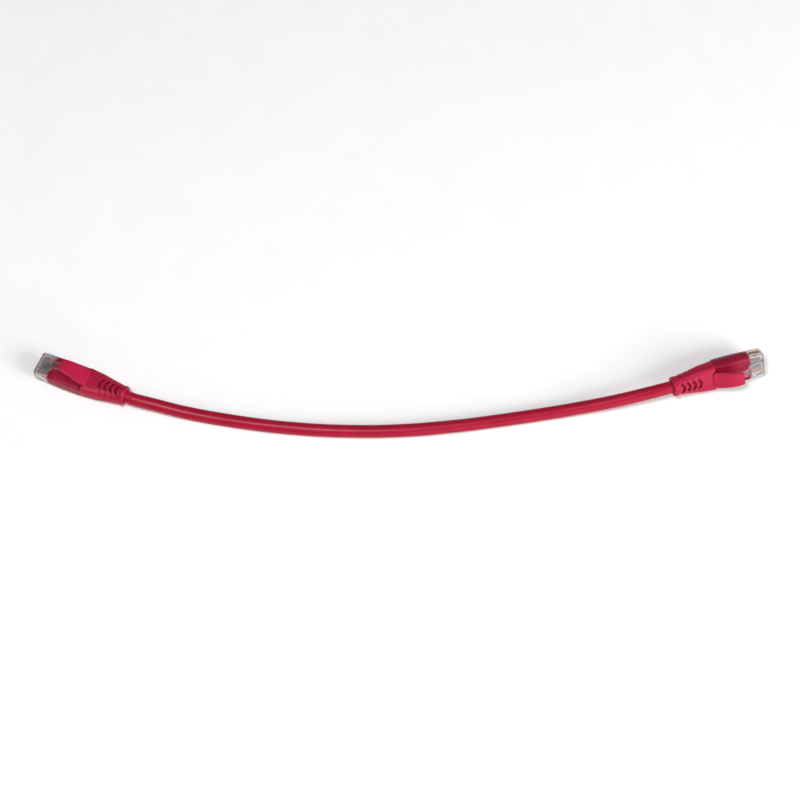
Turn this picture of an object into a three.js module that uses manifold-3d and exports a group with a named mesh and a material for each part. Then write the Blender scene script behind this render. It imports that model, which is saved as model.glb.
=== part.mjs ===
// Ethernet patch cable: a red twisted-pair cable between two clear 8-position modular plugs, each with
// a moulded snagless boot. Millimetres, +Z up, standing on the plane z = 0.
//
// Each plug is built in a frame of its own: x runs from the rear face of the boot (0) to the nose,
// y across the eight contacts, z from the contact side (0) to the latch side.
import * as THREE from "three";
import { mergeVertices } from "three/addons/utils/BufferGeometryUtils.js";
import Module from "manifold-3d";

const wasm = await Module();
wasm.setup();

// ---------------------------------------------------------------- driving dimensions

const NOSE = 44.8; // from the rear face of the boot to the nose
const BOOT_LENGTH = 20.5; // from the rear face of the boot to the back of the housing
const AXIS_Z = 4.7; // height of the cable's axis inside the boot
const ROW_Z = 4.1; // height of the flat row of conductors inside the housing
const GAP = 0.3; // clearance between pieces that touch on the real cable

const HOUSING = { back: BOOT_LENGTH + 0.1, width: 11.68, height: 6.6, wall: 0.9, chamfer: 0.6 };
const CONTACT = { count: 8, pitch: 1.02, thickness: 0.3, slot: 0.6, back: NOSE - 6.4, top: 3.3 };
const LATCH = { root: NOSE - 1.8, shoulder: NOSE - 8.6, wide: 6.2, narrow: 3.25, thickness: 1 };
const JACKET = { radius: 3, bore: 2.4, end: 13, sides: 12, steps: 30 };
const WIRE = { radius: 0.4, sides: 6, steps: 48, end: NOSE - 1.7, fanEnd: 24 };
const PAIR = { spread: 1.27, offset: 0.46 }; // from the cable's axis to a pair, and to its conductors
const BORE_RADIUS = JACKET.radius + GAP + 0.05;
const SLOTS = { count: 4, first: 4.45, pitch: 2.7, width: 1.24, length: 4.9, bulge: 1.1 };

// Where each plug lies: the centre line of its contact side at the rear, the direction of its nose
// and its roll, in degrees.
const PLUGS = [
  { side: "left", at: [-125.1, -9.3, 0], heading: 180 - 22.5, roll: 0 },
  { side: "right", at: [123.5, -1.9, 5.06], heading: 16.5, roll: 60 },
];

// The cable's free stretch, from the left boot to the right one: it lies on the ground except where
// it climbs to the boots.
const ROUTE = [
  [-111.7, -13.4, 4.35],
  [-100.7, -16.2, 3.6],
  [-89.7, -18.5, 3.1],
  [-78.7, -20.5, 3],
  [-67.7, -22.3, 3],
  [-56.7, -23.8, 3],
  [-45.7, -24.9, 3],
  [-34.7, -25.7, 3],
  [-23.7, -26.1, 3],
  [-12.7, -26.2, 3],
  [-1.7, -25.9, 3],
  [9.3, -25.2, 3],
  [20.3, -24.1, 3],
  [31.3, -22.8, 3],
  [42.3, -21.2, 3],
  [53.3, -19.5, 3],
  [64.3, -17.7, 3.05],
  [75.3, -15.9, 3.4],
  [86.3, -14.1, 4.2],
  [97.3, -12.3, 5.4],
  [108.3, -10, 6.5],
];

// ---------------------------------------------------------------- materials

const material = (color, roughness, metalness = 0) =>
  new THREE.MeshStandardMaterial({ color, roughness, metalness });

const RED_JACKET = material(0xb92b42, 0.4);
const RED_BOOT = material(0xb4233f, 0.5);
const CLEAR = material(0xd8d6d4, 0.12);
CLEAR.transparent = true;
CLEAR.opacity = 0.45;
const GOLD = material(0xd9a441, 0.25, 1);

// Pins 1 to 8 in the usual order, with the pair that each conductor belongs to.
const CONDUCTORS = [
  { name: "white_orange", color: 0xf0d2b4, pair: "orange" },
  { name: "orange", color: 0xe87a1e, pair: "orange" },
  { name: "white_green", color: 0xd5e8d0, pair: "green" },
  { name: "blue", color: 0x2a56b4, pair: "blue" },
  { name: "white_blue", color: 0xccd8ee, pair: "blue" },
  { name: "green", color: 0x2b8a3a, pair: "green" },
  { name: "white_brown", color: 0xe2d3c4, pair: "brown" },
  { name: "brown", color: 0x7a4a28, pair: "brown" },
];

// Each pair's place round the cable's axis, in degrees, and its number of whole twists.
const PAIRS = {
  brown: { angle: 0, twists: 4 },
  blue: { angle: 90, twists: 6 },
  orange: { angle: 180, twists: 3 },
  green: { angle: 270, twists: 5 },
};

// ---------------------------------------------------------------- solids

function solid(geometry) {
  const bare = geometry.clone();
  bare.deleteAttribute("normal");
  bare.deleteAttribute("uv");
  const merged = mergeVertices(bare, 1e-4);
  return new wasm.Manifold(
    new wasm.Mesh({
      numProp: 3,
      vertProperties: merged.attributes.position.array,
      triVerts: new Uint32Array(merged.index.array),
    }),
  );
}

function geometryOf(shape) {
  const mesh = shape.getMesh();
  const geometry = new THREE.BufferGeometry();
  geometry.setAttribute("position", new THREE.BufferAttribute(new Float32Array(mesh.vertProperties), 3));
  geometry.setIndex(new THREE.BufferAttribute(new Uint32Array(mesh.triVerts), 1));
  geometry.computeVertexNormals();
  return geometry;
}

const join = (first, ...rest) => rest.reduce((sum, next) => sum.add(next), first);
const cut = (first, ...rest) => rest.reduce((left, next) => left.subtract(next), first);

// A box between two values on each axis.
function block([x0, x1], [y0, y1], [z0, z1]) {
  const geometry = new THREE.BoxGeometry(x1 - x0, y1 - y0, z1 - z0);
  geometry.translate((x0 + x1) / 2, (y0 + y1) / 2, (z0 + z1) / 2);
  return solid(geometry);
}

// A side view drawn in x and z, as wide as width across y, centred on y = middle.
function profileGeometry(points, width, middle = 0) {
  const shape = new THREE.Shape(points.map(([x, z]) => new THREE.Vector2(x, z)));
  const geometry = new THREE.ExtrudeGeometry(shape, { depth: width, bevelEnabled: false });
  geometry.rotateX(Math.PI / 2);
  geometry.translate(0, middle + width / 2, 0);
  return geometry;
}

// A crescent in x and y, with its middle nearer the nose than its ends, as a solid along z.
function crescent(x, [z0, z1]) {
  const { width, length, bulge } = SLOTS;
  const line = [-1, -0.55, 0, 0.55, 1].map((share) => [
    x + bulge * (0.5 - share ** 2),
    (share * length) / 2,
  ]);
  const edge = (points, side) => points.map(([px, py]) => new THREE.Vector2(px + (side * width) / 2, py));
  const shape = new THREE.Shape([...edge(line, 1), ...edge(line, -1).reverse()]);
  const geometry = new THREE.ExtrudeGeometry(shape, { depth: z1 - z0, bevelEnabled: false });
  geometry.translate(0, 0, z0);
  return solid(geometry);
}

// One ring of a loft: a rectangle in y and z with round corners, seen from the nose.
function roundedRing({ x, width, height, corner, z }, perCorner) {
  const points = [];
  for (let quarter = 0; quarter < 4; quarter++) {
    const sideY = quarter === 0 || quarter === 3 ? 1 : -1;
    const sideZ = quarter < 2 ? 1 : -1;
    for (let i = 0; i < perCorner; i++) {
      const angle = (quarter + i / (perCorner - 1)) * (Math.PI / 2);
      const y = sideY * (width / 2 - corner) + corner * Math.cos(angle);
      points.push([x, y, z + sideZ * (height / 2 - corner) + corner * Math.sin(angle)]);
    }
  }
  return points;
}

// A closed body through rounded rectangles, given in order of rising x.
function loft(sections, perCorner = 4) {
  const rings = sections.map((section) => roundedRing(section, perCorner));
  const count = 4 * perCorner;
  const index = [];
  for (let ring = 0; ring + 1 < rings.length; ring++) {
    for (let i = 0; i < count; i++) {
      const a = ring * count + i;
      const b = ring * count + ((i + 1) % count);
      index.push(a, b, b + count, a, b + count, a + count);
    }
  }
  const last = (rings.length - 1) * count;
  for (let i = 1; i + 1 < count; i++) {
    index.push(0, i + 1, i);
    index.push(last, last + i, last + i + 1);
  }
  const geometry = new THREE.BufferGeometry();
  geometry.setAttribute("position", new THREE.Float32BufferAttribute(rings.flat(2), 3));
  geometry.setIndex(index);
  return solid(geometry);
}

function polygon(sides, radius) {
  return Array.from({ length: sides }, (_, i) => {
    const angle = ((i + 0.5) / sides) * 2 * Math.PI;
    return new THREE.Vector2(radius * Math.cos(angle), radius * Math.sin(angle));
  });
}

// ---------------------------------------------------------------- plug pieces

const contactY = (pin) => (pin - (CONTACT.count + 1) / 2) * CONTACT.pitch;

function housingSolid() {
  const { back, width, height, wall, chamfer } = HOUSING;
  const full = { width, height, corner: 0.3, z: height / 2 };
  const body = loft(
    [
      { x: back, ...full },
      { x: NOSE - 2 * chamfer, ...full },
      { x: NOSE, ...full, width: width - 2 * chamfer, height: height - 2 * chamfer },
    ],
    2,
  );
  const latchBoss = [
    [LATCH.root + GAP, height - 0.6],
    [NOSE - 0.5, height - 0.6],
    [NOSE - 0.7, height + 0.5],
    [LATCH.root + GAP, height + 1.1],
  ];
  const cableCavity = block([back - 1, CONTACT.back - 0.6], [-5, 5], [wall, height - wall]);
  const wireCavity = block([CONTACT.back - 1, NOSE - 1], [-4.45, 4.45], [ROW_Z - 0.6, ROW_Z + 0.8]);
  const crimpRecess = block([NOSE - 17, NOSE - 12], [-4, 4], [-1, wall / 2]);
  const slots = [];
  for (let pin = 1; pin <= CONTACT.count; pin++) {
    const across = [contactY(pin) - CONTACT.slot / 2, contactY(pin) + CONTACT.slot / 2];
    slots.push(block([CONTACT.back - GAP, NOSE - 0.7], across, [-1, CONTACT.top + GAP]));
    slots.push(block([NOSE - 1, NOSE + 1], across, [-1, 1.6]));
  }
  return cut(
    join(body, solid(profileGeometry(latchBoss, LATCH.wide))),
    cableCavity,
    wireCavity,
    crimpRecess,
    ...slots,
  );
}

// The latch is moulded to the nose and rises towards the cable. Its wide part ends in the two
// shoulders that lock behind the socket's edge, and the narrow part levels out under the thumb tab.
function latchSolid() {
  const { root, shoulder, wide, narrow, thickness } = LATCH;
  const strip = (line) => [...line, ...line.map(([x, z]) => [x, z + thickness]).reverse()];
  const rootPoint = [root, HOUSING.height + 0.35];
  const shoulderPoint = [shoulder, 8.78];
  const neck = [[28.8, 9.9], [33.5, 9.5], [shoulder + 1, 8.51]];
  return join(
    solid(profileGeometry(strip([shoulderPoint, rootPoint]), wide)),
    solid(profileGeometry(strip(neck), narrow)),
  );
}

// A contact blade stands on edge: its rounded foot meets the socket's spring, and its two points
// press into the conductor.
function contactGeometry(pin) {
  const { back, top, thickness } = CONTACT;
  const outline = [
    [back, 0.9],
    [back + 0.3, 0.6],
    [NOSE - 1.6, 0.6],
    [NOSE - 1, 1.2],
    [NOSE - 1, 2.2],
    [NOSE - 2.4, top],
    [NOSE - 3.5, 2.3],
    [NOSE - 4.6, top],
    [back, 2.1],
  ];
  return profileGeometry(outline, thickness, contactY(pin));
}

function bootSolid() {
  const body = loft(
    [
      { x: 0, width: 8.8, height: 8.8, corner: 4.3, z: AXIS_Z },
      { x: 0.5, width: 9.4, height: 9.4, corner: 4.6, z: AXIS_Z },
      { x: 2, width: 9.4, height: 9.4, corner: 4.6, z: AXIS_Z },
      { x: 2.6, width: 8.9, height: 8, corner: 3.9, z: AXIS_Z - 0.1 },
      { x: 9, width: 10.6, height: 8, corner: 3.4, z: AXIS_Z - 0.3 },
      { x: 15, width: 11.9, height: 8, corner: 3, z: AXIS_Z - 0.5 },
      { x: BOOT_LENGTH, width: 12.4, height: 8.1, corner: 2.5, z: AXIS_Z - 0.55 },
    ],
    5,
  );
  const tongue = block([BOOT_LENGTH - 1, CONTACT.back - 0.9], [-4.7, 4.7], [HOUSING.wall + GAP, 5.4]);
  const bore = new THREE.CylinderGeometry(BORE_RADIUS, BORE_RADIUS, JACKET.end + GAP + 1, 16);
  bore.rotateZ(Math.PI / 2);
  bore.translate((JACKET.end + GAP - 1) / 2, 0, AXIS_Z);
  const wireWay = loft([
    { x: JACKET.end, width: 4.9, height: 4.9, corner: 2.4, z: AXIS_Z },
    { x: BOOT_LENGTH + 0.4, width: 7.8, height: 1.9, corner: 0.6, z: ROW_Z + 0.1 },
    { x: WIRE.fanEnd, width: 8.9, height: 1.6, corner: 0.4, z: ROW_Z },
    { x: CONTACT.back, width: 8.9, height: 1.6, corner: 0.4, z: ROW_Z },
  ]);
  const slots = [];
  for (let i = 0; i < SLOTS.count; i++) {
    slots.push(crescent(SLOTS.first + i * SLOTS.pitch, [AXIS_Z - 6, AXIS_Z + 6]));
  }
  return cut(join(body, tongue), solid(bore), wireWay, ...slots);
}

// The thumb tab springs from the top of the boot's front edge and arches forward over the latch.
function thumbTabSolid() {
  const stations = [
    { x: 19.4, low: 8.5, high: 8.95, width: 8 },
    { x: 21, low: 8.5, high: 9.6, width: 8.4 },
    { x: 23.5, low: 9.2, high: 10.9, width: 8.2 },
    { x: 26, low: 10.5, high: 12.1, width: 7.7 },
    { x: 29, low: 11.6, high: 13.1, width: 6.9 },
    { x: 32.5, low: 12.1, high: 13.5, width: 5.9 },
  ];
  const sections = stations.map(({ x, low, high, width }) => ({
    x,
    width,
    height: high - low,
    corner: 0.2,
    z: (low + high) / 2,
  }));
  return loft(sections, 2);
}

// ---------------------------------------------------------------- placing the plugs

function mesh(name, geometry, meshMaterial) {
  const made = new THREE.Mesh(geometry, meshMaterial);
  made.name = name;
  return made;
}

function plugGroup({ side, at, heading, roll }) {
  const group = new THREE.Group();
  group.position.set(...at);
  group.rotation.set(THREE.MathUtils.degToRad(roll), 0, THREE.MathUtils.degToRad(heading), "ZYX");
  group.add(
    mesh(side + "_plug_housing", geometryOf(housingSolid()), CLEAR),
    mesh(side + "_plug_latch", geometryOf(latchSolid()), CLEAR),
    mesh(side + "_boot", geometryOf(bootSolid()), RED_BOOT),
    mesh(side + "_boot_thumb_tab", geometryOf(thumbTabSolid()), RED_BOOT),
  );
  for (let pin = 1; pin <= CONTACT.count; pin++) {
    group.add(mesh(side + "_contact_" + pin, contactGeometry(pin), GOLD));
  }
  group.updateMatrixWorld(true);
  return group;
}

const [leftPlug, rightPlug] = PLUGS.map(plugGroup);

// Points on a plug's own axis, at the given distances from the rear face of its boot.
const onAxis = (plug, ...distances) =>
  distances.map((x) => new THREE.Vector3(x, 0, AXIS_Z).applyMatrix4(plug.matrixWorld));

// ---------------------------------------------------------------- cable

const freePoints = ROUTE.map((point) => new THREE.Vector3(...point));
const jacketPoints = [
  ...onAxis(leftPlug, JACKET.end, 6, 0, -4),
  ...freePoints,
  ...onAxis(rightPlug, -4, 0, 6, JACKET.end),
];
const corePoints = [
  ...onAxis(leftPlug, WIRE.end, WIRE.fanEnd),
  ...jacketPoints,
  ...onAxis(rightPlug, WIRE.fanEnd, WIRE.end),
];
const jacketPath = new THREE.CatmullRomCurve3(jacketPoints);
const corePath = new THREE.CatmullRomCurve3(corePoints);

function jacketGeometry() {
  const shape = new THREE.Shape(polygon(JACKET.sides, JACKET.radius));
  shape.holes.push(new THREE.Path(polygon(JACKET.sides, JACKET.bore)));
  return new THREE.ExtrudeGeometry(shape, { steps: JACKET.steps, extrudePath: jacketPath });
}

// The line of one conductor: twisted with its partner inside the jacket, and fanned out into the
// flat row of eight inside each plug.
class ConductorPath extends THREE.Curve {
  constructor(pin) {
    super();
    const { pair } = CONDUCTORS[pin - 1];
    const partners = CONDUCTORS.map((one, i) => (one.pair === pair ? i + 1 : 0)).filter(Boolean);
    this.rowPlace = contactY(pin);
    this.pair = PAIRS[pair];
    this.sign = pin === partners[0] ? -1 : 1;
  }

  getPoint(t, target = new THREE.Vector3()) {
    const length = corePath.getLength();
    const fromPlug = Math.min(t, 1 - t) * length; // distance from the nearer wire end
    const fanStart = WIRE.end - JACKET.end;
    const flat = WIRE.end - WIRE.fanEnd;
    const row = 1 - THREE.MathUtils.smoothstep(fromPlug, flat, fanStart);
    const along = THREE.MathUtils.clamp((t * length - fanStart) / (length - 2 * fanStart), 0, 1);

    const place = THREE.MathUtils.degToRad(this.pair.angle);
    const twist = 2 * Math.PI * this.pair.twists * along;
    const reach = this.sign * PAIR.offset;
    const across = PAIR.spread * Math.cos(place) + reach * Math.cos(twist);
    const above = PAIR.spread * Math.sin(place) + reach * Math.sin(twist);
    const rowHeight = (ROW_Z - AXIS_Z) * (t < 0.5 ? 1 : -1);
    const a = THREE.MathUtils.lerp(across, this.rowPlace, row);
    const b = THREE.MathUtils.lerp(above, rowHeight, row);

    // The row turns over between the plugs, so that each pin meets the same pin at the other end.
    const turn = along * THREE.MathUtils.degToRad(180 - PLUGS[1].roll);
    const tangent = corePath.getTangentAt(t);
    const sideways = new THREE.Vector3().crossVectors(tangent, new THREE.Vector3(0, 0, 1)).normalize();
    const over = new THREE.Vector3().crossVectors(sideways, tangent);
    corePath.getPointAt(t, target);
    target.addScaledVector(sideways, a * Math.cos(turn) - b * Math.sin(turn));
    target.addScaledVector(over, a * Math.sin(turn) + b * Math.cos(turn));
    return target;
  }
}

function conductorGeometry(pin) {
  const shape = new THREE.Shape(polygon(WIRE.sides, WIRE.radius));
  return new THREE.ExtrudeGeometry(shape, { steps: WIRE.steps, extrudePath: new ConductorPath(pin) });
}

// ---------------------------------------------------------------- the cable as a whole

const patchCable = new THREE.Group();
patchCable.add(leftPlug, rightPlug, mesh("cable_jacket", jacketGeometry(), RED_JACKET));
CONDUCTORS.forEach(({ name, color }, i) => {
  patchCable.add(mesh("conductor_" + (i + 1) + "_" + name, conductorGeometry(i + 1), material(color, 0.45)));
});

export default patchCable;
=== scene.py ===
"""A short red ethernet patch cable with a clear modular plug and a moulded snagless boot at each end.

Metres, +Z up, in the CAD frame. Each plug is described in millimetres in a frame of its own: x runs
from the rear face of the boot (0) to the nose, y across the contacts, and z from the contact side to
the latch side.
"""

import math

import bpy
import numpy as np
from mathutils import Matrix, Vector

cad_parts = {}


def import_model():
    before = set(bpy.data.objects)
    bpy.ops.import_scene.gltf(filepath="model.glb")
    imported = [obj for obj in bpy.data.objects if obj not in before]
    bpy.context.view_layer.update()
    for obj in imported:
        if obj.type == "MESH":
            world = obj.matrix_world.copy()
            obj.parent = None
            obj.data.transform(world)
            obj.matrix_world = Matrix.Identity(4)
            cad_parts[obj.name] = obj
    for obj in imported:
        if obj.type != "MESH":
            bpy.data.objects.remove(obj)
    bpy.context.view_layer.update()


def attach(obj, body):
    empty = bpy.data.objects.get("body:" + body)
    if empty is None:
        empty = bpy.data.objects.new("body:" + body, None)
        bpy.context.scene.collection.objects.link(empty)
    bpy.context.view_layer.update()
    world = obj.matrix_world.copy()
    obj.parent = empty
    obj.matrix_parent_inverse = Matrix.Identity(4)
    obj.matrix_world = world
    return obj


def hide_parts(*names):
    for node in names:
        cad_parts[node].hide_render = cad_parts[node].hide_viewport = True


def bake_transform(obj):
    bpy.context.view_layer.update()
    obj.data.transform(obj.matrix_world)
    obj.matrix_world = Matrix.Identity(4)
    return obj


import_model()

MM = 0.001

# The plug's and the cable's main sizes, in millimetres.
NOSE = 44.8  # from the rear face of the boot to the nose
BOOT_LENGTH = 20.5
AXIS_Z = 4.7  # height of the cable's axis inside the boot
HELD = (6, 0, -4)  # where the cable's line is held to that axis, from inside the boot outwards
JACKET_RADIUS = 3.0
JACKET_END = 13.0  # how far the jacket reaches into the boot
PINS = range(1, 9)
PITCH = 1.02  # between neighbouring contacts
ROW_Z = 4.1  # height of the flat row of conductors
WIRE_RADIUS = 0.4
WIRE_END = NOSE - 1.7
FAN_END = 24.0  # from here to the nose the conductors lie in a flat row
PAIR_OFFSET = 1.27  # from the cable's axis to the middle of a pair
TWIN_OFFSET = 0.46  # from the middle of a pair to the middle of either conductor
HOUSING_Z = 3.3  # height of the housing's middle
SHOULDER = NOSE - 8.6  # the end of the latch's wide part
TONGUE_END = 38.05  # how far the boot's red plastic fills the housing

PLUGS = {
    "left": {"at": (-0.1251, -0.0093, 0.0), "heading": 180 - 22.5, "roll": 0},
    "right": {"at": (0.1235, -0.0019, 0.00506), "heading": 16.5, "roll": 60},
}

# The cable's free stretch, from the left boot to the right one.
ROUTE = [
    (-0.1117, -0.0134, 0.00435),
    (-0.1007, -0.0162, 0.0036),
    (-0.0897, -0.0185, 0.0031),
    (-0.0787, -0.0205, 0.003),
    (-0.0677, -0.0223, 0.003),
    (-0.0567, -0.0238, 0.003),
    (-0.0457, -0.0249, 0.003),
    (-0.0347, -0.0257, 0.003),
    (-0.0237, -0.0261, 0.003),
    (-0.0127, -0.0262, 0.003),
    (-0.0017, -0.0259, 0.003),
    (0.0093, -0.0252, 0.003),
    (0.0203, -0.0241, 0.003),
    (0.0313, -0.0228, 0.003),
    (0.0423, -0.0212, 0.003),
    (0.0533, -0.0195, 0.003),
    (0.0643, -0.0177, 0.00305),
    (0.0753, -0.0159, 0.0034),
    (0.0863, -0.0141, 0.0042),
    (0.0973, -0.0123, 0.0054),
    (0.1083, -0.01, 0.0065),
]

WHITE = (0.80, 0.79, 0.76)
ORANGE = (0.62, 0.34, 0.22)
GREEN = (0.20, 0.34, 0.23)
BLUE = (0.19, 0.26, 0.42)
BROWN = (0.28, 0.19, 0.14)
CONDUCTORS = [  # pins 1 to 8: name, insulation colour, stripe colour (or none) and pair
    ("white_orange", WHITE, ORANGE, "orange"),
    ("orange", ORANGE, None, "orange"),
    ("white_green", WHITE, GREEN, "green"),
    ("blue", BLUE, None, "blue"),
    ("white_blue", WHITE, BLUE, "blue"),
    ("green", GREEN, None, "green"),
    ("white_brown", WHITE, BROWN, "brown"),
    ("brown", BROWN, None, "brown"),
]
# Each pair's place round the cable's axis, in degrees, and its number of whole twists.
PAIRS = {"brown": (0, 4), "blue": (90, 6), "orange": (180, 3), "green": (270, 5)}


# ---------------------------------------------------------------- numbers and frames


def smooth(table, x):
    """The columns of a table of rows (x, value, ...) at x, along smooth curves through the rows."""
    rows = np.array(table, float)
    at, values = rows[:, 0], rows[:, 1:]
    slope = np.gradient(values, at, axis=0)
    x = float(np.clip(x, at[0], at[-1]))
    i = min(int(np.searchsorted(at, x, side="right")) - 1, len(at) - 2)
    span = at[i + 1] - at[i]
    t = (x - at[i]) / span
    return (
        (2 * t**3 - 3 * t**2 + 1) * values[i]
        + (t**3 - 2 * t**2 + t) * span * slope[i]
        + (3 * t**2 - 2 * t**3) * values[i + 1]
        + (t**3 - t**2) * span * slope[i + 1]
    )


def step(low, high, x):
    """0 below low, 1 above high, and smooth between them."""
    t = np.clip((x - low) / (high - low), 0, 1)
    return t * t * (3 - 2 * t)


def pin_y(pin):
    """Where a pin's contact and conductor are across a plug, in its own millimetres."""
    return (pin - (len(PINS) + 1) / 2) * PITCH


def plug_matrix(side):
    """From a plug's own frame, in millimetres, to the CAD frame, in metres."""
    plug = PLUGS[side]
    turn = Matrix.Rotation(math.radians(plug["heading"]), 4, "Z")
    roll = Matrix.Rotation(math.radians(plug["roll"]), 4, "X")
    return Matrix.Translation(plug["at"]) @ turn @ roll @ Matrix.Scale(MM, 4)


def world(side, points):
    """Points of a plug's own frame, in millimetres, in the CAD frame in metres."""
    matrix = np.array(plug_matrix(side))
    return np.asarray(points, float) @ matrix[:3, :3].T + matrix[:3, 3]


def on_axis(side, *distances):
    """Points of the cable's axis inside and behind a boot."""
    return [Vector(world(side, (x, 0, AXIS_Z))) for x in distances]


def catmull_rom(points, per_span=24):
    """A dense line through points, by the centripetal rule."""
    ends = [2 * points[0] - points[1], *points, 2 * points[-1] - points[-2]]
    line = []
    for p0, p1, p2, p3 in zip(ends, ends[1:], ends[2:], ends[3:]):
        d0, d1, d2 = ((b - a).length ** 0.5 for a, b in ((p0, p1), (p1, p2), (p2, p3)))
        t1 = ((p1 - p0) / d0 - (p2 - p0) / (d0 + d1) + (p2 - p1) / d1) * d1
        t2 = ((p2 - p1) / d1 - (p3 - p1) / (d1 + d2) + (p3 - p2) / d2) * d1
        for i in range(per_span):
            s = i / per_span
            a, b = 3 * (p2 - p1) - 2 * t1 - t2, 2 * (p1 - p2) + t1 + t2
            line.append(p1 + t1 * s + a * s**2 + b * s**3)
    return np.array([*line, points[-1]])


class Line:
    """A dense line, in metres, that can be read by the distance along it."""

    def __init__(self, points):
        self.points = points
        steps = np.linalg.norm(np.diff(points, axis=0), axis=1)
        self.at = np.concatenate([[0], np.cumsum(steps)])
        self.length = self.at[-1]

    def point(self, s):
        return np.stack([np.interp(s, self.at, self.points[:, i]) for i in range(3)], -1)

    def frame(self, s):
        """The tangent, and the two directions across the line: sideways and up."""
        reach = 0.0004  # half the stretch that a tangent is taken over
        tangent = self.point(np.minimum(s + reach, self.length)) - self.point(np.maximum(s - reach, 0))
        tangent /= np.linalg.norm(tangent, axis=-1, keepdims=True)
        sideways = np.cross(tangent, (0, 0, 1))
        sideways /= np.linalg.norm(sideways, axis=-1, keepdims=True)
        return tangent, sideways, np.cross(sideways, tangent)


def cable_line(*inside):
    """The line of the whole cable, by way of these distances inside each plug."""
    held = (*inside, *HELD)
    return Line(
        catmull_rom([*on_axis("left", *held), *map(Vector, ROUTE), *on_axis("right", *held[::-1])])
    )


JACKET_LINE = cable_line(JACKET_END)
CORE_LINE = cable_line(WIRE_END, FAN_END, JACKET_END)


# ---------------------------------------------------------------- camera

LENS, SENSOR = 124.6, 36  # millimetres
CAMERA_AT = (0.0003, -0.5788, 1.1386)
CAMERA_AIM = (0.0003, -0.0087, 0.0)


def place(name, data, at, aim):
    """Puts a camera or a light at a point, looking at another."""
    made = bpy.data.objects.new(name, data)
    made.location = at
    made.rotation_euler = (Vector(aim) - Vector(at)).to_track_quat("-Z", "Y").to_euler()
    bpy.context.scene.collection.objects.link(made)
    return made


def make_camera():
    data = bpy.data.cameras.new("camera")
    data.lens, data.sensor_width = LENS, SENSOR
    bpy.context.scene.camera = place("camera", data, CAMERA_AT, CAMERA_AIM)


make_camera()


# ---------------------------------------------------------------- meshes

SHARP = 35  # degrees between two faces, from which the edge between them looks sharp


def link(name, mesh):
    made = bpy.data.objects.new(name, mesh)
    bpy.context.scene.collection.objects.link(made)
    return made


def write_attribute(mesh, name, values):
    """Numbers or vectors at a mesh's points, for the materials to read."""
    values = np.asarray(values, np.float32)
    vector = values.ndim == 2
    attribute = mesh.attributes.new(name, "FLOAT_VECTOR" if vector else "FLOAT", "POINT")
    attribute.data.foreach_set("vector" if vector else "value", values.ravel())


def skin(name, rings, local=None, sharp=SHARP, **shades):
    """A closed skin over rings of points, each ring an array of points in order, with flat ends.
    local is where each point is for the textures, in millimetres; shades are numbers at the points."""
    rings = np.asarray(rings, float)
    count, around = rings.shape[:2]
    index = np.arange(count * around).reshape(count, around)
    a, b = index[:-1], index[1:]
    quads = np.stack([a, np.roll(a, -1, 1), np.roll(b, -1, 1), b], -1).reshape(-1, 4)
    faces = [*map(list, quads), list(index[0][::-1]), list(index[-1])]
    mesh = bpy.data.meshes.new(name)
    mesh.from_pydata([tuple(p) for p in rings.reshape(-1, 3)], [], faces)
    middle = count // 2  # the middle ring tells whether the rings turn the skin inside out
    spokes = rings[middle] - rings[middle].mean(0)
    turn = np.cross(spokes, np.roll(spokes, -1, 0)).sum(0)
    if np.dot(turn, (rings[middle + 1] - rings[middle]).mean(0)) < 0:
        mesh.flip_normals()
    write_attribute(mesh, "local", (rings if local is None else np.asarray(local)).reshape(-1, 3))
    for shade, values in shades.items():
        write_attribute(mesh, shade, np.asarray(values).ravel())
    mesh.shade_smooth()
    mesh.set_sharp_from_angle(angle=math.radians(sharp))
    return link(name, mesh)


def oval(x, half_width, half_height, centre, squareness, around):
    """A ring at x that is round at squareness 2 and nearly a rectangle at 8."""
    angle = np.linspace(0, 2 * np.pi, around, endpoint=False)
    cos, sin = np.cos(angle), np.sin(angle)
    power = 2 / squareness
    y = half_width * np.sign(cos) * np.abs(cos) ** power
    z = centre + half_height * np.sign(sin) * np.abs(sin) ** power
    return np.stack([np.full(around, float(x)), y, z], -1)


def prism(name, outline, y0, y1):
    """A side view in x and z as a solid between two values of y, in a plug's own frame."""
    count = len(outline)
    points = [(x, y, z) for y in (y0, y1) for x, z in outline]
    sides = [[i, (i + 1) % count, count + (i + 1) % count, count + i] for i in range(count)]
    mesh = bpy.data.meshes.new(name)
    mesh.from_pydata(points, [], [*sides, list(range(count))[::-1], list(range(count, 2 * count))])
    made = link(name, mesh)
    area = sum(x0 * z1 - x1 * z0 for (x0, z0), (x1, z1) in zip(outline, outline[1:] + outline[:1]))
    if area > 0:  # the outline runs anticlockwise
        mesh.flip_normals()
    return made


def box(name, x, y, z):
    """A block between two values each of x, y and z, in a plug's own frame."""
    return prism(name, [(x[0], z[0]), (x[1], z[0]), (x[1], z[1]), (x[0], z[1])], *y)


def joined(name, parts):
    """Several separate solids as one object."""
    with bpy.context.temp_override(active_object=parts[0], selected_editable_objects=parts):
        bpy.ops.object.join()
    parts[0].name = name
    return parts[0]


def settle(made):
    """Applies an object's modifiers to its mesh."""
    graph = bpy.context.evaluated_depsgraph_get()
    made.data = bpy.data.meshes.new_from_object(made.evaluated_get(graph))
    made.modifiers.clear()


def carve(target, tool, operation="DIFFERENCE"):
    """Takes a tool's shape out of a target, or joins it on, and uses the tool up."""
    cut = target.modifiers.new("carve", "BOOLEAN")
    cut.operation, cut.object, cut.solver = operation, tool, "EXACT"
    settle(target)
    bpy.data.objects.remove(tool)


def soften(made, width):
    """Rounds an object's edges."""
    bevel = made.modifiers.new("soften", "BEVEL")
    bevel.width, bevel.segments = width, 2
    bevel.limit_method, bevel.angle_limit = "ANGLE", math.radians(SHARP)
    settle(made)


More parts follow.
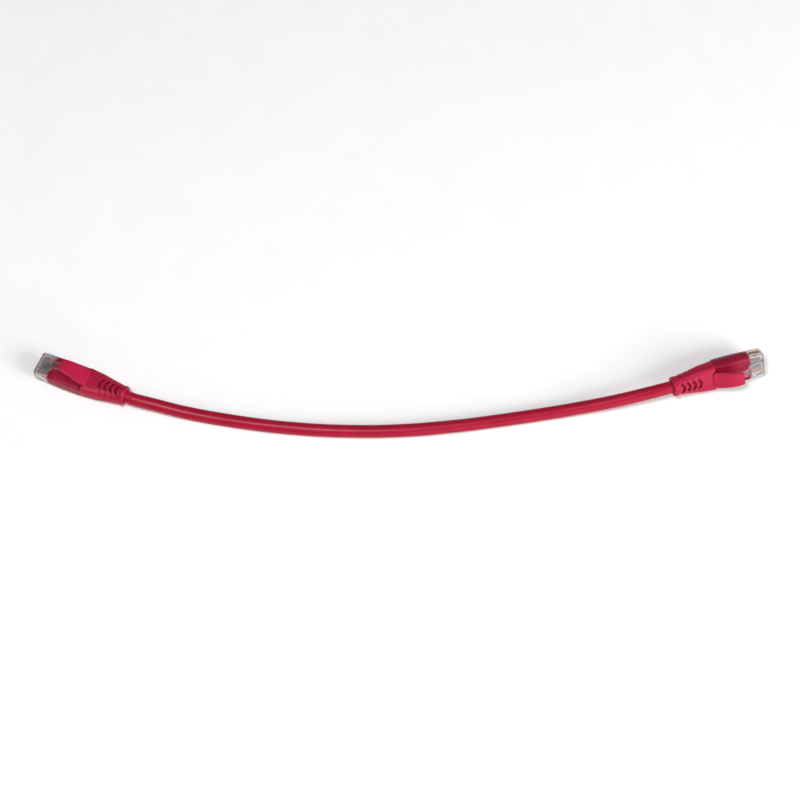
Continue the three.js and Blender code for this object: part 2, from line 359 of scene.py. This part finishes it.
def put_in_place(made, side):
    """Moves a mesh from a plug's own frame into the CAD frame, and keeps its points in the plug's own
    for the textures, unless it has them already."""
    mesh = made.data
    if "local" not in mesh.attributes:
        points = np.zeros(len(mesh.vertices) * 3, np.float32)
        mesh.vertices.foreach_get("co", points)
        write_attribute(mesh, "local", points.reshape(-1, 3))
    mesh.transform(plug_matrix(side))
    mesh.shade_smooth()
    mesh.set_sharp_from_angle(angle=math.radians(SHARP))


# ---------------------------------------------------------------- materials


class Graph:
    """The nodes of one material."""

    def __init__(self, name):
        self.material = bpy.data.materials.new(name)
        self.material.use_nodes = True
        self.tree = self.material.node_tree
        self.tree.nodes.clear()

    def add(self, kind, inputs=(), output=0, **properties):
        """A node with its inputs set or linked; returns one of its outputs."""
        node = self.tree.nodes.new(kind)
        for key, value in properties.items():
            setattr(node, key, value)
        for key, value in dict(inputs).items():
            if isinstance(value, bpy.types.NodeSocket):
                self.tree.links.new(value, node.inputs[key])
            else:
                node.inputs[key].default_value = value
        return node.outputs[output]

    def attribute(self, name, output="Vector"):
        return self.add("ShaderNodeAttribute", attribute_name=name, output=output)

    def noise(self, vector, scale, detail=3.0, stretch=(1, 1, 1)):
        """Soft noise between 0 and 1, with scale in cells per millimetre."""
        moved = self.add("ShaderNodeMapping", {"Vector": vector, "Scale": stretch})
        return self.add("ShaderNodeTexNoise", {"Vector": moved, "Scale": scale, "Detail": detail})

    def remap(self, value, low, high, to_low, to_high):
        inputs = {"Value": value, "From Min": low, "From Max": high, "To Min": to_low, "To Max": to_high}
        return self.add("ShaderNodeMapRange", inputs)

    def mix(self, share, first, second):
        inputs = {0: share, 6: first, 7: second}
        return self.add("ShaderNodeMix", inputs, output=2, data_type="RGBA")

    def mottle(self, noise, first, second, low=0.3, high=0.7):
        """The first colour where the noise is low, and the second where it is high."""
        return self.mix(self.remap(noise, low, high, 0, 1), first, second)

    def math(self, operation, first, second):
        return self.add("ShaderNodeMath", {0: first, 1: second}, operation=operation)

    def bump(self, height, distance, strength, normal=None):
        """A rough surface, with its relief in metres, over the relief of another normal."""
        inputs = {"Height": height, "Distance": distance, "Strength": strength}
        if normal is not None:
            inputs["Normal"] = normal
        return self.add("ShaderNodeBump", inputs)

    def finish(self, **inputs):
        """Ends the graph in a Principled shader with these inputs, and returns the material."""
        named = {key.replace("_", " "): value for key, value in inputs.items()}
        shader = self.add("ShaderNodeBsdfPrincipled", named)
        surface = self.tree.nodes.new("ShaderNodeOutputMaterial").inputs["Surface"]
        self.tree.links.new(shader, surface)
        return self.material


def rgba(colour):
    """A colour as a node's socket takes it."""
    return (*colour, 1.0)


def shaded(colour, factor):
    """The same, lighter or darker."""
    return rgba([c * factor for c in colour])


def pvc(name, colour, gloss, specular, streak, cavity=False):
    """Soft coloured PVC: slightly uneven colour, fine grain, faint flow marks along streak and a few
    rubbed places. Where the mesh marks recesses, their colour is darkened with painted shade and they are
    duller."""
    graph = Graph(name)
    local = graph.attribute("local")
    cloud = graph.noise(local, scale=0.16, detail=4)
    tint = graph.mottle(cloud, shaded(colour, 0.9), shaded(colour, 1.08))
    flow = graph.noise(local, scale=1.5, stretch=streak)
    tint = graph.mix(graph.remap(flow, 0.35, 0.75, 0, 0.22), tint, shaded(colour, 1.3))
    rub = graph.noise(local, scale=0.9, detail=6, stretch=(0.7, 1, 1))
    rubbed = graph.remap(rub, 0.62, 0.78, 0, 0.05)
    tint = graph.mix(rubbed, tint, rgba([0.35 + 0.65 * c for c in colour]))
    grain = graph.noise(local, scale=9, detail=2)
    peel = graph.noise(local, scale=1.1, detail=2)
    normal = graph.bump(peel, distance=0.00006, strength=0.35)
    normal = graph.bump(flow, distance=0.00003, strength=0.5, normal=normal)
    normal = graph.bump(grain, distance=0.000012, strength=0.6, normal=normal)
    rough = graph.math("ADD", graph.remap(flow, 0.3, 0.7, gloss - 0.05, gloss + 0.07), rubbed)
    if cavity:
        depth = graph.attribute("cavity", "Fac")
        # painted shade: the marked recesses get up to half of the base colour
        tint = graph.mix(depth, tint, shaded(colour, 0.5))
        rough = graph.math("MAXIMUM", rough, graph.math("MULTIPLY", depth, 0.95))
    return graph.finish(
        Base_Color=tint, Roughness=rough, Normal=normal, IOR=1.5, Specular_IOR_Level=specular
    )


def clear_plastic(name, pale, deep, **optics):
    """Polycarbonate, from one tint to the other, with faint flow lines and fine scratches."""
    graph = Graph(name)
    local = graph.attribute("local")
    haze = graph.noise(local, scale=0.35, detail=4)
    tint = graph.mottle(haze, rgba(deep), rgba(pale))
    scratches = graph.noise(local, scale=2.2, detail=5, stretch=(0.15, 1.6, 1))
    rough = graph.remap(scratches, 0.4, 0.75, 0.08, 0.22)
    normal = graph.bump(haze, distance=0.0001, strength=0.12)
    normal = graph.bump(scratches, distance=0.00001, strength=0.3, normal=normal)
    return graph.finish(Base_Color=tint, Roughness=rough, Normal=normal, **optics)


def gold(name):
    """Gold plate with slight wear and fine brushing."""
    graph = Graph(name)
    local = graph.attribute("local")
    wear = graph.noise(local, scale=2.5, detail=4)
    tint = graph.mottle(wear, rgba((0.93, 0.66, 0.25)), rgba((0.80, 0.50, 0.20)), low=0.35)
    brush = graph.noise(local, scale=8, stretch=(0.2, 1, 1))
    rough = graph.remap(brush, 0.3, 0.7, 0.16, 0.34)
    normal = graph.bump(brush, distance=0.000008, strength=0.4)
    return graph.finish(Base_Color=tint, Roughness=rough, Normal=normal, Metallic=1.0)


def insulation(name, colour, stripe):
    """A conductor's insulation, with a stripe of slightly uneven edges where its mesh marks it."""
    graph = Graph(name)
    local = graph.attribute("local")
    cloud = graph.noise(local, scale=0.8)
    tint = graph.mottle(cloud, shaded(colour, 0.88), shaded(colour, 1.06))
    if stripe:
        marked = graph.attribute("stripe", "Fac")
        edge = graph.math("ADD", marked, graph.remap(cloud, 0, 1, -0.05, 0.05))
        tint = graph.mottle(edge, tint, rgba(stripe), low=0.55, high=0.65)
    rough = graph.remap(cloud, 0.3, 0.7, 0.3, 0.45)
    normal = graph.bump(graph.noise(local, scale=5, detail=2), distance=0.00001, strength=0.4)
    return graph.finish(Base_Color=tint, Roughness=rough, Normal=normal, IOR=1.5)


def finish_piece(piece, material, slot, *nodes):
    """Gives a piece its material, and hides the CAD nodes that it stands for."""
    piece.data.materials.clear()
    piece.data.materials.append(material)
    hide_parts(*nodes)


# ---------------------------------------------------------------- cable


def make_jacket():
    """The jacket, very slightly wavy where the four pairs press against it from inside, and its middle
    line."""
    around, spacing = 40, 0.0006
    lay = 0.085  # the length in which the waves go once round
    inset = 0.03  # so that the waves' crests are at the jacket's radius, and not their middle
    s = np.linspace(0, JACKET_LINE.length, int(JACKET_LINE.length / spacing))[:, None]
    angle = np.linspace(0, 2 * np.pi, around, endpoint=False)[None, :]
    turn = 2 * np.pi * s / lay
    bulge = 0.02 * np.cos(4 * angle - turn) + 0.012 * np.cos(2 * angle - 1.7 * turn + 1)
    radius = JACKET_RADIUS - inset + bulge
    centre = JACKET_LINE.point(s[:, 0])[:, None]
    _, sideways, up = (v[:, None] for v in JACKET_LINE.frame(s[:, 0]))
    across, above = radius * np.cos(angle), radius * np.sin(angle)
    rings = centre + MM * (across[..., None] * sideways + above[..., None] * up)
    local = np.stack([np.broadcast_to(s / MM, across.shape), across, above], -1)
    return skin("jacket", rings, local), centre[:, 0]


def conductor_line(pin, pair, s):
    """A conductor's own line, for distances s along the cable's: twisted with its partner inside the
    jacket, and fanned out into the flat row of each plug."""
    length = CORE_LINE.length
    fan_start, flat = WIRE_END - JACKET_END, WIRE_END - FAN_END
    row = 1 - step(flat, fan_start, np.minimum(s, length - s) / MM)  # 1 in the row, 0 in the jacket
    along = np.clip((s / MM - fan_start) / (length / MM - 2 * fan_start), 0, 1)

    place_angle, twists = PAIRS[pair]
    place_angle = math.radians(place_angle)
    first_of_pair = [one[3] for one in CONDUCTORS].index(pair) + 1
    reach = -TWIN_OFFSET if pin == first_of_pair else TWIN_OFFSET
    twist = 2 * np.pi * twists * along
    across = PAIR_OFFSET * math.cos(place_angle) + reach * np.cos(twist)
    above = PAIR_OFFSET * math.sin(place_angle) + reach * np.sin(twist)
    row_height = (ROW_Z - AXIS_Z) * np.where(s < length / 2, 1, -1)
    across += (pin_y(pin) - across) * row
    above += (row_height - above) * row

    turn = along * math.radians(180 - PLUGS["right"]["roll"])  # the right plug's row faces another way
    across, above = (
        across * np.cos(turn) - above * np.sin(turn),
        across * np.sin(turn) + above * np.cos(turn),
    )
    _, sideways, up = CORE_LINE.frame(s)
    return Line(CORE_LINE.point(s) + MM * (across[:, None] * sideways + above[:, None] * up))


def make_conductor(pin, name, colour, stripe, pair):
    """One insulated conductor, from one plug's contact to the other's."""
    around, spacing = 12, 0.0007
    stripe_lay = 9  # millimetres for each radian that the stripe turns round the conductor
    apart = 3  # between the conductors in the textures' space, so that no two have the same marks
    s = np.linspace(0, CORE_LINE.length, int(CORE_LINE.length / spacing))
    centre = conductor_line(pin, pair, s)
    _, sideways, up = (v[:, None] for v in centre.frame(centre.at))
    angle = np.linspace(0, 2 * np.pi, around, endpoint=False)[None, :]
    outward = np.cos(angle)[..., None] * sideways + np.sin(angle)[..., None] * up
    rings = centre.points[:, None] + MM * WIRE_RADIUS * outward

    along = s[:, None] / MM
    spin = along / stripe_lay + angle
    across, above = WIRE_RADIUS * np.cos(spin), WIRE_RADIUS * np.sin(spin)
    local = np.stack([np.broadcast_to(along, spin.shape), apart * pin + across, above], -1)
    wire = skin(f"wire_{pin}_{name}", rings, local, stripe=np.sin(spin))
    material = insulation("insulation_" + name, colour, stripe)
    finish_piece(wire, material, "insulation_" + name, f"conductor_{pin}_{name}")
    return wire


def make_cable():
    """The jacket and its eight conductors, attached together to the cable's body."""
    jacket, path = make_jacket()
    finish_piece(jacket, MATERIALS["jacket"], "jacket_pvc", "cable_jacket")
    wires = [make_conductor(pin, *conductor) for pin, conductor in zip(PINS, CONDUCTORS)]
    for piece in (jacket, *wires):
        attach(piece, "cable")


# ---------------------------------------------------------------- boot

COLLAR = [  # x and radius, from inside the bore, over the rear face, to the front of the collar
    (1.6, 3.06),
    (0.5, 3.06),
    (0.28, 3.12),
    (0.2, 3.28),
    (0.2, 4.1),
    (0.26, 4.32),
    (0.42, 4.5),
    (0.65, 4.6),
    (1.0, 4.64),
    (1.7, 4.64),
    (2.0, 4.6),
    (2.2, 4.5),
]
BODY = [  # x, half width, half height, centre height, squareness
    (2.35, 4.4, 4.05, 4.65, 2.2),
    (5, 4.75, 4.0, 4.55, 2.35),
    (9, 5.3, 4.0, 4.4, 2.6),
    (15, 6.15, 4.0, 4.2, 3.5),
    (20.1, 6.5, 4.05, 4.15, 4.5),
]
FRONT = [(20.3, 0.03), (20.43, 0.1), (BOOT_LENGTH, 0.26)]  # x, distance inside the end of the body
TONGUE_HALF_WIDTH, TONGUE_HALF_HEIGHT = 5.5, 2.85
TONGUE = [  # x, distance inside the tongue's full width and height
    (20.5, 0.1),
    (20.75, 0),
    (30, 0),
    (37.2, 0),
    (37.85, 0.12),
    (TONGUE_END, 0.5),
]
SEAM_HEIGHT, SEAM_PROUD = 0.16, 0.07  # the faint line along both sides where the mould parts

SLOTS = [4.45 + 2.7 * i for i in range(4)]  # the middle of each
SLOT_HALF = 0.66
SLOT_REACH = 2.3  # from the middle of a slot to its end
SLOT_BULGE = 1.1  # how far a slot's middle is nearer the nose than its ends
SLOT_FLOOR = 3.12  # from the cable's axis to the floor of the slots
LIP = [  # distance inside a slot's edge, share of the slot's depth
    (-0.25, 0),
    (-0.1, 0.03),
    (0, 0.12),
    (0.08, 0.9),
    (0.14, 1),
]
GROOVE_HALF, GROOVE_DEPTH = 0.55, 0.2
GROOVE_SHADE = 0.3  # how much painted shade a groove beside a slot gets
UNCUT_ROWS = {2.35, 2.6, 2.9, 14.0, 14.5, 15.0, 16.0, 17.0, 18.0, 19.0, 20.1}


def body_rows():
    """Places along the boot's body for its rings: close together at the edges of the slots."""
    offsets = [SLOT_HALF - inside for inside, _ in LIP] + [0.2, 0.35, 1.1]
    rows = {round(slot + sign * offset, 3) for slot in SLOTS for offset in offsets for sign in (-1, 1)}
    return sorted(rows | set(SLOTS) | UNCUT_ROWS)


def carve_slots(ring, half_height, centre):
    """Bends a ring to the crescent of the slots, sinks the slots of the top and of the bottom into it
    down to the jacket, and the shallow grooves that run on from them round the sides. Returns the ring
    and the painted shade at its points: as deep as a slot is cut, and less of it in the grooves."""
    x, y, z = ring.T
    row = x[0]
    slot = min(SLOTS, key=lambda middle: abs(middle - row))
    half_width, _, _, squareness = smooth(BODY, slot)
    lean = np.abs(np.cos(np.linspace(0, 2 * np.pi, len(ring), endpoint=False)))
    lean /= (SLOT_REACH / half_width) ** (squareness / 2)  # 1 at the ends of the slots
    run = np.clip(np.abs(y) - SLOT_REACH, 0, None) + (half_height - np.abs(z - centre)) * (lean > 1)
    bend = np.where(lean < 1, SLOT_BULGE * (0.5 - lean**2), -0.5 * SLOT_BULGE - 0.1 * run)
    x = x + bend * step(2.35, 3.9, row) * (1 - step(14, 17, row))

    inside, depth = zip(*LIP)
    deep_along = np.interp(SLOT_HALF - abs(row - slot), inside, depth)
    deep = deep_along * np.interp(SLOT_REACH * (1 - lean), inside, depth)
    groove = max(0, 1 - ((row - slot) / GROOVE_HALF) ** 2) * step(0, 0.7, run) * (1 - step(3.5, 6, run))
    shrink = 1 - GROOVE_DEPTH * groove / np.hypot(y, z - centre)
    y, z = y * shrink, centre + (z - centre) * shrink
    floor = AXIS_Z + np.sign(z - centre) * np.sqrt(np.clip(SLOT_FLOOR**2 - y**2, 0, None))
    # the second value is painted shade: full where a slot is cut deep, and a share of it in the grooves
    return np.stack([x, y, z + (floor - z) * deep], -1), np.maximum(deep, GROOVE_SHADE * groove)


def body_ring(x, around):
    """A ring of the boot's body with the mould's seam and its cuts, and the painted shade of the cuts."""
    half_width, half_height, centre, squareness = smooth(BODY, x)
    ring = oval(x, half_width, half_height, centre, squareness, around)
    seam = np.exp(-(((ring[:, 2] - centre) / SEAM_HEIGHT) ** 2)) * SEAM_PROUD
    ring[:, 1] += np.sign(ring[:, 1]) * seam
    return carve_slots(ring, half_height, centre)


def make_boot(side):
    """The boot from the bore of its collar to the end of the tongue that fills the housing."""
    around = 144
    collar = [oval(x, radius, radius, AXIS_Z, squareness=2, around=around) for x, radius in COLLAR]
    body, painted_shades = zip(*(body_ring(x, around) for x in body_rows()))
    _, half_width, half_height, centre, squareness = BODY[-1]
    front = [
        oval(x, half_width - inset, half_height - inset, centre, squareness, around)
        for x, inset in FRONT
    ]
    half_width, half_height = TONGUE_HALF_WIDTH, TONGUE_HALF_HEIGHT
    tongue = [
        oval(x, half_width - inset, half_height - inset, HOUSING_Z, squareness=10, around=around)
        for x, inset in TONGUE
    ]
    rings = np.array([*collar, *body, *front, *tongue])
    # painted shade for the recesses: none except in the slotted body
    cavity = np.zeros(rings.shape[:2])
    cavity[len(collar) : len(collar) + len(body)] = painted_shades
    boot = skin(side + "_boot_moulding", world(side, rings), rings, sharp=42, cavity=cavity)
    finish_piece(boot, MATERIALS["boot"], "boot_pvc", side + "_boot")
    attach(boot, "cable")


TAB = [  # x, underside, top, half width
    (19.0, 7.9, 8.45, 2.6),
    (19.15, 7.9, 8.72, 3.3),
    (19.5, 7.95, 8.95, 3.85),
    (20.2, 8.15, 9.2, 4.12),
    (21.5, 8.5, 9.85, 4.2),
    (23.5, 9.2, 10.95, 4.12),
    (26, 10.5, 12.1, 3.85),
    (29, 11.6, 13.1, 3.45),
    (31, 12.0, 13.42, 3.15),
    (32.2, 12.15, 13.5, 2.98),
    (32.45, 12.3, 13.42, 2.86),
    (32.5, 12.55, 13.15, 2.65),
]
TAB_CURVED = (19.5, 32.2)  # the tab's rows are joined by smooth curves here, and straight elsewhere
TAB_TIP = (32.3, 32.4, 32.46, 32.5)  # where its last rings are


def make_tab(side):
    """The thumb tab, from its root on the boot to its tip over the latch."""
    rows = np.array(TAB)
    rings = []
    for x in (*np.linspace(19, 19.8, 10, endpoint=False), *np.linspace(19.8, 32.2, 42), *TAB_TIP):
        if TAB_CURVED[0] < x < TAB_CURVED[1]:
            low, high, half_width = smooth(TAB, x)
        else:
            low, high, half_width = (np.interp(x, rows[:, 0], rows[:, i]) for i in (1, 2, 3))
        middle, half_height = (high + low) / 2, (high - low) / 2
        rings.append(oval(x, half_width, half_height, middle, squareness=7, around=72))
    rings = np.array(rings)
    # the tab gets no painted shade
    no_painted_shade = np.zeros(rings.shape[:2])
    tab = skin(side + "_thumb_tab_moulding", world(side, rings), rings, sharp=50, cavity=no_painted_shade)
    finish_piece(tab, MATERIALS["boot"], "boot_pvc", side + "_boot_thumb_tab")
    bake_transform(tab)


# ---------------------------------------------------------------- plug

HOUSING = [  # x, half width, half height
    (20.6, 6.24, 3.3),
    (20.65, 6.25, 3.3),
    (25, 6.34, 3.3),
    (30, 6.32, 3.3),
    (34.5, 6.12, 3.3),
    (TONGUE_END, 5.96, 3.3),
    (42.3, 5.84, 3.3),
    (43.6, 5.74, 3.2),
    (44.2, 5.54, 3.0),
    (44.6, 5.24, 2.7),
    (NOSE, 4.84, 2.3),
]
# Between two values each of x, y and z: the space behind the nose, and the one that the row of
# conductors goes into.
CAVITY = [(19, NOSE - 7), (-5, 5), (0.9, 5.7)]
WIRE_SPACE = [(NOSE - 7.5, NOSE - 1), (-4.45, 4.45), (3.5, 4.9)]
# Side views in x and z: the latch's boss on the nose, and what is cut from the contact side.
BOSS = [(43.3, 6.0), (44.3, 6.0), (44.1, 7.1), (43.8, 7.5), (43.3, 7.7)]
CONTACT_SLOT = [(38.1, -1), (46, -1), (46, 1.6), (44.1, 1.6), (44.1, 3.6), (38.1, 3.6)]
CRIMP = [(27.6, -1), (33, -1), (32.7, 0.22), (31.9, 0.33), (28.9, 0.33), (28.1, 0.22)]


def comb(name, outline, half_width):
    """A side view as eight solids, one at each pin."""
    teeth = [prism(name, outline, pin_y(pin) - half_width, pin_y(pin) + half_width) for pin in PINS]
    return joined(name, teeth)


def make_housing(side):
    """The clear housing: open behind, with eight contact slots and the recess of the crimp. Where the
    red tongue is bonded to it from inside, it looks stained and hardly shines."""
    rings = [oval(*row, HOUSING_Z, squareness=14, around=48) for row in HOUSING]
    housing = skin(side + "_housing", rings, sharp=30)
    carve(housing, prism("boss", BOSS, y0=-3.1, y1=3.1), "UNION")
    carve(housing, box("cavity", *CAVITY))
    carve(housing, box("wire_space", *WIRE_SPACE))
    carve(housing, comb("contact_slots", CONTACT_SLOT, half_width=0.3))
    carve(housing, prism("crimp", CRIMP, y0=-4, y1=4))
    soften(housing, width=0.09)
    over_tongue = [face.center.x < TONGUE_END for face in housing.data.polygons]
    put_in_place(housing, side)
    finish_piece(housing, MATERIALS["clear"], "clear_polycarbonate", side + "_plug_housing")
    housing.data.materials.append(MATERIALS["stained"])
    housing.data.polygons.foreach_set("material_index", over_tongue)
    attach(housing, "cable")


LATCH = [  # x, middle height, half width
    (43.7, 7.2, 3.0),
    (43.2, 7.35, 3.08),
    (41, 7.95, 3.1),
    (SHOULDER + 0.12, 9.22, 3.1),
    (SHOULDER + 0.02, 9.26, 3.0),
    (SHOULDER - 0.02, 9.28, 1.75),
    (SHOULDER - 0.2, 9.33, 1.63),
    (33.5, 10.0, 1.62),
    (31.5, 10.22, 1.62),
    (29.2, 10.38, 1.6),
    (28.9, 10.39, 1.5),
    (28.8, 10.4, 1.3),
]
LATCH_HALF_THICKNESS = [(28.8, 0.25), (28.95, 0.4), (29.3, 0.47), (43.7, 0.5)]  # by x


def make_latch(side):
    """The latch, from its root in the nose to its tail under the thumb tab."""
    rows = np.array(LATCH[::-1])
    between = {*np.arange(29.5, 36, 0.5), *np.arange(36.6, 43, 0.5)}  # either side of the shoulder
    rings = []
    for x in sorted({*rows[:, 0], *between}):
        middle, half_width = (np.interp(x, rows[:, 0], rows[:, i]) for i in (1, 2))
        half_thickness = np.interp(x, *zip(*LATCH_HALF_THICKNESS))
        rings.append(oval(x, half_width, half_thickness, middle, squareness=9, around=40))
    rings = np.array(rings)
    latch = skin(side + "_latch_spring", world(side, rings), rings, sharp=40)
    finish_piece(latch, MATERIALS["clear"], "clear_polycarbonate", side + "_plug_latch")
    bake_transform(latch)


FOOT_AT, FOOT_RADIUS = (42.8, 1.5), 0.9
FOOT = [
    (FOOT_AT[0] + FOOT_RADIUS * math.sin(a), FOOT_AT[1] - FOOT_RADIUS * math.cos(a))
    for a in np.linspace(0, math.pi / 2, 6)
]
REAR = [(38.4, 0.95), (38.5, 0.7), (38.75, 0.6)]
POINTS = [(43.75, 2.2), (42.4, 3.3), (41.3, 2.3), (40.2, 3.3), (39.2, 2.2), (38.4, 2.1)]
BLADE = [*REAR, *FOOT, *POINTS]  # a contact's side view in x and z


def make_contacts(side):
    """Eight gold blades: a rounded foot for the socket's spring and two points in each conductor."""
    contacts = comb(side + "_contact_blades", BLADE, half_width=0.15)
    soften(contacts, width=0.05)
    put_in_place(contacts, side)
    nodes = [f"{side}_contact_{pin}" for pin in PINS]
    finish_piece(contacts, MATERIALS["gold"], "gold_plate", *nodes)
    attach(contacts, "cable")


# ---------------------------------------------------------------- floor and light

FLOOR_REACH = 3
LIGHTS = [  # name, place, width and height, watts; all of them look at the origin
    ("key", (1.1, -0.65, 0.6), (0.7, 0.7), 16.5),
    ("front", (0.6, -1.3, 0.3), (1.0, 0.5), 5),
    ("top", (-0.3, -0.42, 1.55), (0.5, 0.5), 17.5),
]
AMBIENT = 0.17


def make_floor():
    low, high = -FLOOR_REACH, FLOOR_REACH
    mesh = bpy.data.meshes.new("floor")
    mesh.from_pydata([(low, low, 0), (high, low, 0), (high, high, 0), (low, high, 0)], [], [(0, 1, 2, 3)])
    graph = Graph("floor_paper")
    position = graph.add("ShaderNodeNewGeometry", output="Position")
    speck = graph.noise(position, scale=60)
    tint = graph.mottle(speck, rgba((0.90, 0.895, 0.90)), rgba((0.92, 0.915, 0.92)))
    mesh.materials.append(graph.finish(Base_Color=tint, Roughness=0.9))
    link("floor", mesh)


def make_light():
    """Three soft panels over an even white surround."""
    surround = bpy.data.worlds.new("studio")
    surround.use_nodes = True
    background = surround.node_tree.nodes["Background"]
    background.inputs["Color"].default_value = (1, 1, 1, 1)
    background.inputs["Strength"].default_value = AMBIENT
    bpy.context.scene.world = surround
    bpy.context.scene.view_settings.view_transform = "Standard"
    for name, at, size, energy in LIGHTS:
        panel = bpy.data.lights.new(name, "AREA")
        panel.shape, panel.size, panel.size_y = "RECTANGLE", *size
        panel.energy = energy
        place(name, panel, at, aim=(0, 0, 0))


# ---------------------------------------------------------------- the whole

MATERIALS = {
    "jacket": pvc("jacket_red", (0.31, 0.005, 0.026), gloss=0.32, specular=0.17, streak=(0.04, 1, 1)),
    "boot": pvc(
        "boot_red", (0.355, 0.006, 0.038), gloss=0.42, specular=0.2, streak=(0.2, 1, 1), cavity=True
    ),
    "clear": clear_plastic(
        "clear_polycarbonate",
        pale=(0.97, 0.93, 0.955),
        deep=(0.9, 0.86, 0.885),
        IOR=1.42,
        Transmission_Weight=0.975,
    ),
    "stained": clear_plastic(
        "stained_polycarbonate",
        pale=(0.99, 0.86, 0.89),
        deep=(0.95, 0.78, 0.82),
        IOR=1.18,
        Specular_IOR_Level=0.2,
        Transmission_Weight=1.0,
    ),
    "gold": gold("gold_plate"),
}
make_cable()
for side in PLUGS:
    make_boot(side)
    make_tab(side)
    make_housing(side)
    make_latch(side)
    make_contacts(side)
make_floor()
make_light()
